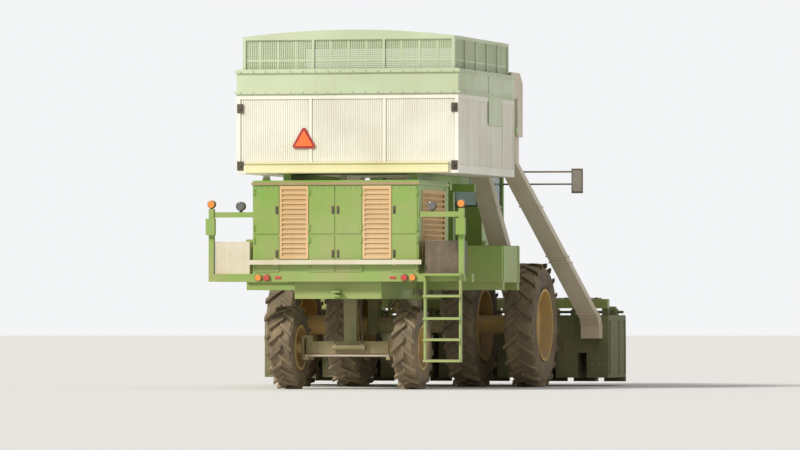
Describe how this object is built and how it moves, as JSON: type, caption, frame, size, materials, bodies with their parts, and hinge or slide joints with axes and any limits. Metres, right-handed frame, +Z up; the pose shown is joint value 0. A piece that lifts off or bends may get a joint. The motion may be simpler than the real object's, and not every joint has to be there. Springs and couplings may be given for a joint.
{
  "type": "cotton harvester",
  "caption": "Self-propelled cotton picker with a row header, cab, air ducts, high tipping basket with a telescoping top, rear engine bay and steered rear axle.",
  "frame": {"origin": "on the ground under the middle of the machine's length and width", "axes": "+Z up, -Y forward (the way it drives), +X to the machine's left"},
  "size_m": [5.79, 8.4, 5.5],
  "materials": {
    "green": "dusty gloss paint",
    "dark_green": "oily, dusty paint",
    "yellow": "worn paint",
    "cream_mesh": "galvanised and dusty",
    "sage": "faded paint",
    "duct": "dusty paint",
    "black": "satin",
    "tank": "matte moulded plastic",
    "steel": "worn",
    "engine": "painted casting",
    "dusty": "screen full of dust",
    "tyre": "dusty",
    "glass": "tinted",
    "amber": "lamp lens",
    "chrome": "polished",
    "seat": "cab trim"
  },
  "bodies": {
    "chassis": {"main_frame": "green", "cross_members": "green", "outriggers": "green", "wing_posts": "green", "drive_axle": "dark_green", "rear_axle": "dark_green", "engine": "engine", "engine_cover": "green", "rear_screens": "dusty", "side_tanks": "green", "rear_box": "black", "wash_tank": "tank", "service_ladder": "green", "rear_bar": "tank", "tail_lamps": "amber", "basket_cradle": "green", "duct_mast": "green", "duct_heads": "duct", "fan_housing": "green", "cab_shell": "green", "cab_roof": "green", "cab_glass": "glass", "driver_station": "seat", "platform": "green", "mirrors": "black"},
    "drive_wheel_left": {"drive_tyres_left": "tyre", "drive_rims_left": "yellow"},
    "drive_wheel_right": {"drive_tyres_right": "tyre", "drive_rims_right": "yellow"},
    "steer_knuckle_left": {"knuckle_left": "dark_green"},
    "steer_knuckle_right": {"knuckle_right": "dark_green"},
    "steer_wheel_left": {"steer_tyre_left": "tyre", "steer_rim_left": "yellow"},
    "steer_wheel_right": {"steer_tyre_right": "tyre", "steer_rim_right": "yellow"},
    "track_rod": {"tie_rod": "steel"},
    "header_arms": {"lift_arms": "green"},
    "header": {"header_beam": "green", "row_unit_1": "green", "row_unit_2": "green", "row_unit_3": "green", "row_unit_4": "green", "row_unit_5": "green", "row_unit_6": "green", "picker_drums": "steel", "lower_ducts": "duct"},
    "basket": {"basket_body": "cream_mesh", "basket_screens": "cream_mesh", "basket_rim": "sage", "basket_rail": "tank"},
    "basket_top": {"top_section": "sage", "top_screens": "sage"},
    "unloading_door": {"basket_door": "cream_mesh"},
    "dump_barrel_pair": {"dump_barrels": "yellow"},
    "dump_rod_pair": {"dump_rods": "chrome"},
    "cab_door_leaf": {"cab_door": "green", "door_glass": "glass"},
    "lift_barrel_pair": {"lift_barrels": "yellow"},
    "lift_rod_pair": {"lift_rods": "chrome"}
  },
  "joints": [
    {"name": "wheel_front_left", "type": "hinge", "parent": "chassis", "child": "drive_wheel_left", "pos_m": [1.4475, -0.8, 0.975], "axis": [1, 0, 0], "continuous": true},
    {"name": "wheel_front_right", "type": "hinge", "parent": "chassis", "child": "drive_wheel_right", "pos_m": [-1.4475, -0.8, 0.975], "axis": [1, 0, 0], "continuous": true},
    {"name": "steer_left", "type": "hinge", "parent": "chassis", "child": "steer_knuckle_left", "pos_m": [0.65, 3.1, 0.635], "axis": [0, 0, 1], "range_deg": [-30, 30]},
    {"name": "steer_right", "type": "hinge", "parent": "chassis", "child": "steer_knuckle_right", "pos_m": [-0.65, 3.1, 0.635], "axis": [0, 0, 1], "range_deg": [-30, 30]},
    {"name": "track_rod_slide", "type": "slide", "parent": "chassis", "child": "track_rod", "axis": [1, 0, 0], "range_m": [-0.125, 0.125]},
    {"name": "wheel_rear_left", "type": "hinge", "parent": "steer_knuckle_left", "child": "steer_wheel_left", "pos_m": [0.965, 3.1, 0.635], "axis": [1, 0, 0], "continuous": true},
    {"name": "wheel_rear_right", "type": "hinge", "parent": "steer_knuckle_right", "child": "steer_wheel_right", "pos_m": [-0.965, 3.1, 0.635], "axis": [1, 0, 0], "continuous": true},
    {"name": "header_lift", "type": "hinge", "parent": "chassis", "child": "header_arms", "pos_m": [0, -1.8, 1.51], "axis": [-1, 0, 0], "range_deg": [0, 21]},
    {"name": "header_level", "type": "hinge", "parent": "header_arms", "child": "header", "pos_m": [0, -2.857, 1.3141], "axis": [-1, 0, 0], "range_deg": [-21, 0]},
    {"name": "lift_barrel_turn", "type": "hinge", "parent": "chassis", "child": "lift_barrel_pair", "pos_m": [0, -1.15, 1.05], "axis": [-1, 0, 0], "range_deg": [0, 9.4]},
    {"name": "lift_rod_slide", "type": "slide", "parent": "lift_barrel_pair", "child": "lift_rod_pair", "axis": [0, -0.9623, 0.2721], "range_m": [0, 0.08]},
    {"name": "basket_tilt", "type": "hinge", "parent": "chassis", "child": "basket", "pos_m": [1.65, 1.16, 3.215], "axis": [0, 1, 0], "range_deg": [0, 52]},
    {"name": "dump_barrel_turn", "type": "hinge", "parent": "chassis", "child": "dump_barrel_pair", "pos_m": [0.2, 1.16, 1.74], "axis": [0, 1, 0], "range_deg": [0, 8]},
    {"name": "dump_rod_slide", "type": "slide", "parent": "dump_barrel_pair", "child": "dump_rod_pair", "axis": [0.1949, 0, 0.9808], "range_m": [0, 1]},
    {"name": "basket_top_slide", "type": "slide", "parent": "basket", "child": "basket_top", "axis": [0, 0, 1], "range_m": [-0.85, 0]},
    {"name": "unloading_door", "type": "hinge", "parent": "basket", "child": "unloading_door", "pos_m": [1.775, 1.46, 3.74], "axis": [0, 1, 0], "range_deg": [0, 110]},
    {"name": "cab_door", "type": "hinge", "parent": "chassis", "child": "cab_door_leaf", "pos_m": [0.875, -3.12, 2.9], "axis": [0, 0, 1], "range_deg": [-100, 0]}
  ],
  "couplings": [
    {"joint": "steer_right", "follows": "steer_left", "ratio": 1},
    {"joint": "track_rod_slide", "follows": "steer_left", "m_per_rad": -0.2292},
    {"joint": "header_level", "follows": "header_lift", "ratio": -1},
    {"joint": "lift_barrel_turn", "follows": "header_lift", "ratio": 0.42247},
    {"joint": "lift_rod_slide", "follows": "header_lift", "m_per_rad": 0.2069},
    {"joint": "dump_barrel_turn", "follows": "basket_tilt", "ratio": 0.12543},
    {"joint": "dump_rod_slide", "follows": "basket_tilt", "m_per_rad": 1.0836}
  ]
}
